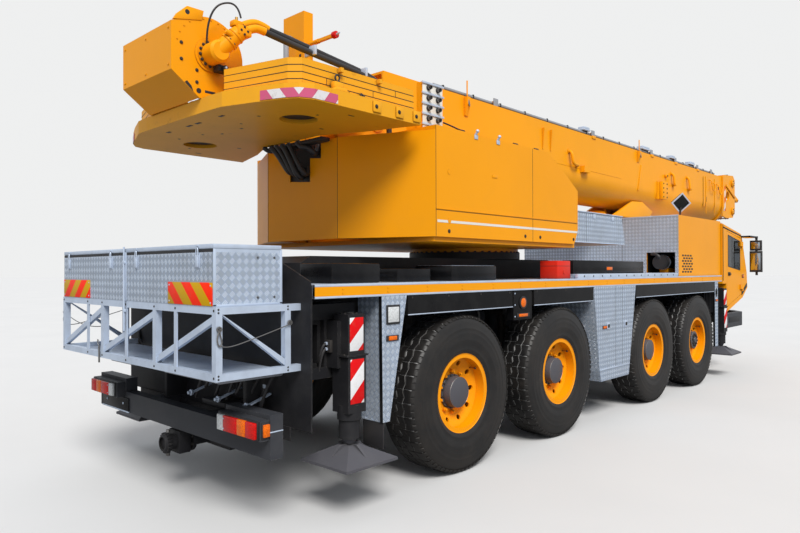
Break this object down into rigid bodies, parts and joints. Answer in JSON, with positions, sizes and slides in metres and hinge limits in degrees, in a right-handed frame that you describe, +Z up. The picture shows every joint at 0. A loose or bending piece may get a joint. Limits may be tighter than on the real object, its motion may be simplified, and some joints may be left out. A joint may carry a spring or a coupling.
{
  "type": "four-axle all-terrain mobile crane",
  "caption": "All-terrain mobile crane with telescopic boom, slewing superstructure, outriggers, rear stowage rack and low cab.",
  "frame": {"origin": "on the ground under the middle of the length, tyres resting at Z 0", "axes": "+X forward along the boom, +Y left, +Z up"},
  "size_m": [14.708, 3.12, 3.9998],
  "materials": {
    "yellow_paint": "gloss paint",
    "black_paint": "gloss black paint",
    "chassis_grey": "satin dark grey paint",
    "tread_plate": "embossed aluminium",
    "tyre": "matte rubber",
    "glass": "tinted glass",
    "bright_steel": "bright steel",
    "cab_trim": "grained plastic and cloth"
  },
  "bodies": {
    "carrier": {"chassis_frame": "chassis_grey", "deck": "tread_plate", "side_skirts": "black_paint", "side_lockers": "tread_plate", "outrigger_boxes": "chassis_grey", "bumpers": "chassis_grey", "rear_rack": "tread_plate", "engine_housing": "yellow_paint", "engine_block": "black_paint", "cab_shell": "yellow_paint", "cab_glass": "glass", "cab_interior": "cab_trim", "axles": "chassis_grey"},
    "knuckle_1_right": {"knuckle_1_right": "chassis_grey"},
    "wheel_1_right": {"tyre_1_right": "tyre", "rim_1_right": "yellow_paint"},
    "knuckle_1_left": {"knuckle_1_left": "chassis_grey"},
    "wheel_1_left": {"tyre_1_left": "tyre", "rim_1_left": "yellow_paint"},
    "knuckle_2_right": {"knuckle_2_right": "chassis_grey"},
    "wheel_2_right": {"tyre_2_right": "tyre", "rim_2_right": "yellow_paint"},
    "knuckle_2_left": {"knuckle_2_left": "chassis_grey"},
    "wheel_2_left": {"tyre_2_left": "tyre", "rim_2_left": "yellow_paint"},
    "wheel_3_right": {"tyre_3_right": "tyre", "rim_3_right": "yellow_paint"},
    "wheel_3_left": {"tyre_3_left": "tyre", "rim_3_left": "yellow_paint"},
    "wheel_4_right": {"tyre_4_right": "tyre", "rim_4_right": "yellow_paint"},
    "wheel_4_left": {"tyre_4_left": "tyre", "rim_4_left": "yellow_paint"},
    "beam_rear_right": {"beam_rear_right": "chassis_grey"},
    "jack_rear_right": {"jack_rear_right": "bright_steel"},
    "beam_rear_left": {"beam_rear_left": "chassis_grey"},
    "jack_rear_left": {"jack_rear_left": "bright_steel"},
    "beam_front_right": {"beam_front_right": "chassis_grey"},
    "jack_front_right": {"jack_front_right": "bright_steel"},
    "beam_front_left": {"beam_front_left": "chassis_grey"},
    "jack_front_left": {"jack_front_left": "bright_steel"},
    "superstructure": {"slew_platform": "yellow_paint", "hood": "yellow_paint", "operator_cab": "yellow_paint", "operator_glass": "glass", "counterweight_plate": "yellow_paint", "ballast_slabs": "yellow_paint", "winch_frame": "yellow_paint"},
    "winch_drum": {"winch_drum": "yellow_paint"},
    "boom_base": {"boom_base": "yellow_paint"},
    "lift_barrel": {"lift_barrel": "yellow_paint"},
    "lift_rod": {"lift_rod": "bright_steel"},
    "boom_section_1": {"boom_section_1": "yellow_paint"},
    "boom_section_2": {"boom_section_2": "yellow_paint"},
    "boom_section_3": {"boom_section_3": "yellow_paint"},
    "cab_door_right": {"cab_door_right": "yellow_paint"},
    "rack_lid_right": {"rack_lid_right": "tread_plate"},
    "cab_door_left": {"cab_door_left": "yellow_paint"},
    "rack_lid_left": {"rack_lid_left": "tread_plate"}
  },
  "joints": [
    {"name": "steer_1_right", "type": "hinge", "parent": "carrier", "child": "knuckle_1_right", "pos_m": [0.73, -1, 0.68], "axis": [0, 0, 1], "range_deg": [-28, 28]},
    {"name": "spin_1_right", "type": "hinge", "parent": "knuckle_1_right", "child": "wheel_1_right", "pos_m": [0.73, -1.1875, 0.68], "axis": [0, 1, 0], "continuous": true},
    {"name": "steer_1_left", "type": "hinge", "parent": "carrier", "child": "knuckle_1_left", "pos_m": [0.73, 1, 0.68], "axis": [0, 0, 1], "range_deg": [-28, 28]},
    {"name": "spin_1_left", "type": "hinge", "parent": "knuckle_1_left", "child": "wheel_1_left", "pos_m": [0.73, 1.1875, 0.68], "axis": [0, 1, 0], "continuous": true},
    {"name": "steer_2_right", "type": "hinge", "parent": "carrier", "child": "knuckle_2_right", "pos_m": [-0.92, -1, 0.68], "axis": [0, 0, 1], "range_deg": [-20, 20]},
    {"name": "spin_2_right", "type": "hinge", "parent": "knuckle_2_right", "child": "wheel_2_right", "pos_m": [-0.92, -1.1875, 0.68], "axis": [0, 1, 0], "continuous": true},
    {"name": "steer_2_left", "type": "hinge", "parent": "carrier", "child": "knuckle_2_left", "pos_m": [-0.92, 1, 0.68], "axis": [0, 0, 1], "range_deg": [-20, 20]},
    {"name": "spin_2_left", "type": "hinge", "parent": "knuckle_2_left", "child": "wheel_2_left", "pos_m": [-0.92, 1.1875, 0.68], "axis": [0, 1, 0], "continuous": true},
    {"name": "spin_3_right", "type": "hinge", "parent": "carrier", "child": "wheel_3_right", "pos_m": [-3.35, -1.1875, 0.68], "axis": [0, 1, 0], "continuous": true},
    {"name": "spin_3_left", "type": "hinge", "parent": "carrier", "child": "wheel_3_left", "pos_m": [-3.35, 1.1875, 0.68], "axis": [0, 1, 0], "continuous": true},
    {"name": "spin_4_right", "type": "hinge", "parent": "carrier", "child": "wheel_4_right", "pos_m": [-5, -1.1875, 0.68], "axis": [0, 1, 0], "continuous": true},
    {"name": "spin_4_left", "type": "hinge", "parent": "carrier", "child": "wheel_4_left", "pos_m": [-5, 1.1875, 0.68], "axis": [0, 1, 0], "continuous": true},
    {"name": "extend_rear_right", "type": "slide", "parent": "carrier", "child": "beam_rear_right", "axis": [0, -1, 0], "range_m": [0, 1.8]},
    {"name": "lower_rear_right", "type": "slide", "parent": "beam_rear_right", "child": "jack_rear_right", "axis": [0, 0, -1], "range_m": [0, 0.55]},
    {"name": "extend_rear_left", "type": "slide", "parent": "carrier", "child": "beam_rear_left", "axis": [0, 1, 0], "range_m": [0, 1.8]},
    {"name": "lower_rear_left", "type": "slide", "parent": "beam_rear_left", "child": "jack_rear_left", "axis": [0, 0, -1], "range_m": [0, 0.55]},
    {"name": "extend_front_right", "type": "slide", "parent": "carrier", "child": "beam_front_right", "axis": [0, -1, 0], "range_m": [0, 1.8]},
    {"name": "lower_front_right", "type": "slide", "parent": "beam_front_right", "child": "jack_front_right", "axis": [0, 0, -1], "range_m": [0, 0.55]},
    {"name": "extend_front_left", "type": "slide", "parent": "carrier", "child": "beam_front_left", "axis": [0, 1, 0], "range_m": [0, 1.8]},
    {"name": "lower_front_left", "type": "slide", "parent": "beam_front_left", "child": "jack_front_left", "axis": [0, 0, -1], "range_m": [0, 0.55]},
    {"name": "slew", "type": "hinge", "parent": "carrier", "child": "superstructure", "pos_m": [-3.25, 0, 1.945], "axis": [0, 0, 1], "continuous": true},
    {"name": "winch_turn", "type": "hinge", "parent": "superstructure", "child": "winch_drum", "pos_m": [-6.89, 0, 3.375], "axis": [0, 1, 0], "continuous": true},
    {"name": "boom_luff", "type": "hinge", "parent": "superstructure", "child": "boom_base", "pos_m": [-5.15, 0, 3.15], "axis": [0, -1, 0], "range_deg": [0, 82]},
    {"name": "lift_swing", "type": "hinge", "parent": "superstructure", "child": "lift_barrel", "pos_m": [-3.2, 0, 2.15], "axis": [0, -1, 0], "range_deg": [0, 90.3]},
    {"name": "lift_extend", "type": "slide", "parent": "lift_barrel", "child": "lift_rod", "axis": [0.9935, 0, 0.1139], "range_m": [0, 2.865]},
    {"name": "telescope_1", "type": "slide", "parent": "boom_base", "child": "boom_section_1", "axis": [1, 0, 0], "range_m": [0, 8]},
    {"name": "telescope_2", "type": "slide", "parent": "boom_section_1", "child": "boom_section_2", "axis": [1, 0, 0], "range_m": [0, 8]},
    {"name": "telescope_3", "type": "slide", "parent": "boom_section_2", "child": "boom_section_3", "axis": [1, 0, 0], "range_m": [0, 8]},
    {"name": "door_right", "type": "hinge", "parent": "carrier", "child": "cab_door_right", "pos_m": [2.985, -1.35, 1.5], "axis": [0, 0, 1], "range_deg": [0, 70]},
    {"name": "lid_right", "type": "hinge", "parent": "carrier", "child": "rack_lid_right", "pos_m": [-6.825, -0.6, 1.912], "axis": [0, 1, 0], "range_deg": [0, 75]},
    {"name": "door_left", "type": "hinge", "parent": "carrier", "child": "cab_door_left", "pos_m": [2.985, 1.35, 1.5], "axis": [0, 0, -1], "range_deg": [0, 70]},
    {"name": "lid_left", "type": "hinge", "parent": "carrier", "child": "rack_lid_left", "pos_m": [-6.825, 0.6, 1.912], "axis": [0, 1, 0], "range_deg": [0, 75]}
  ],
  "couplings": [
    {"joint": "steer_1_left", "follows": "steer_1_right", "ratio": 1},
    {"joint": "steer_2_right", "follows": "steer_1_right", "ratio": 0.664},
    {"joint": "steer_2_left", "follows": "steer_1_right", "ratio": 0.664},
    {"joint": "lift_swing", "follows": "boom_luff", "ratio": 1.0766},
    {"joint": "lift_extend", "follows": "boom_luff", "m_per_rad": 1.9669},
    {"joint": "telescope_2", "follows": "telescope_1", "ratio": 1},
    {"joint": "telescope_3", "follows": "telescope_1", "ratio": 1}
  ]
}
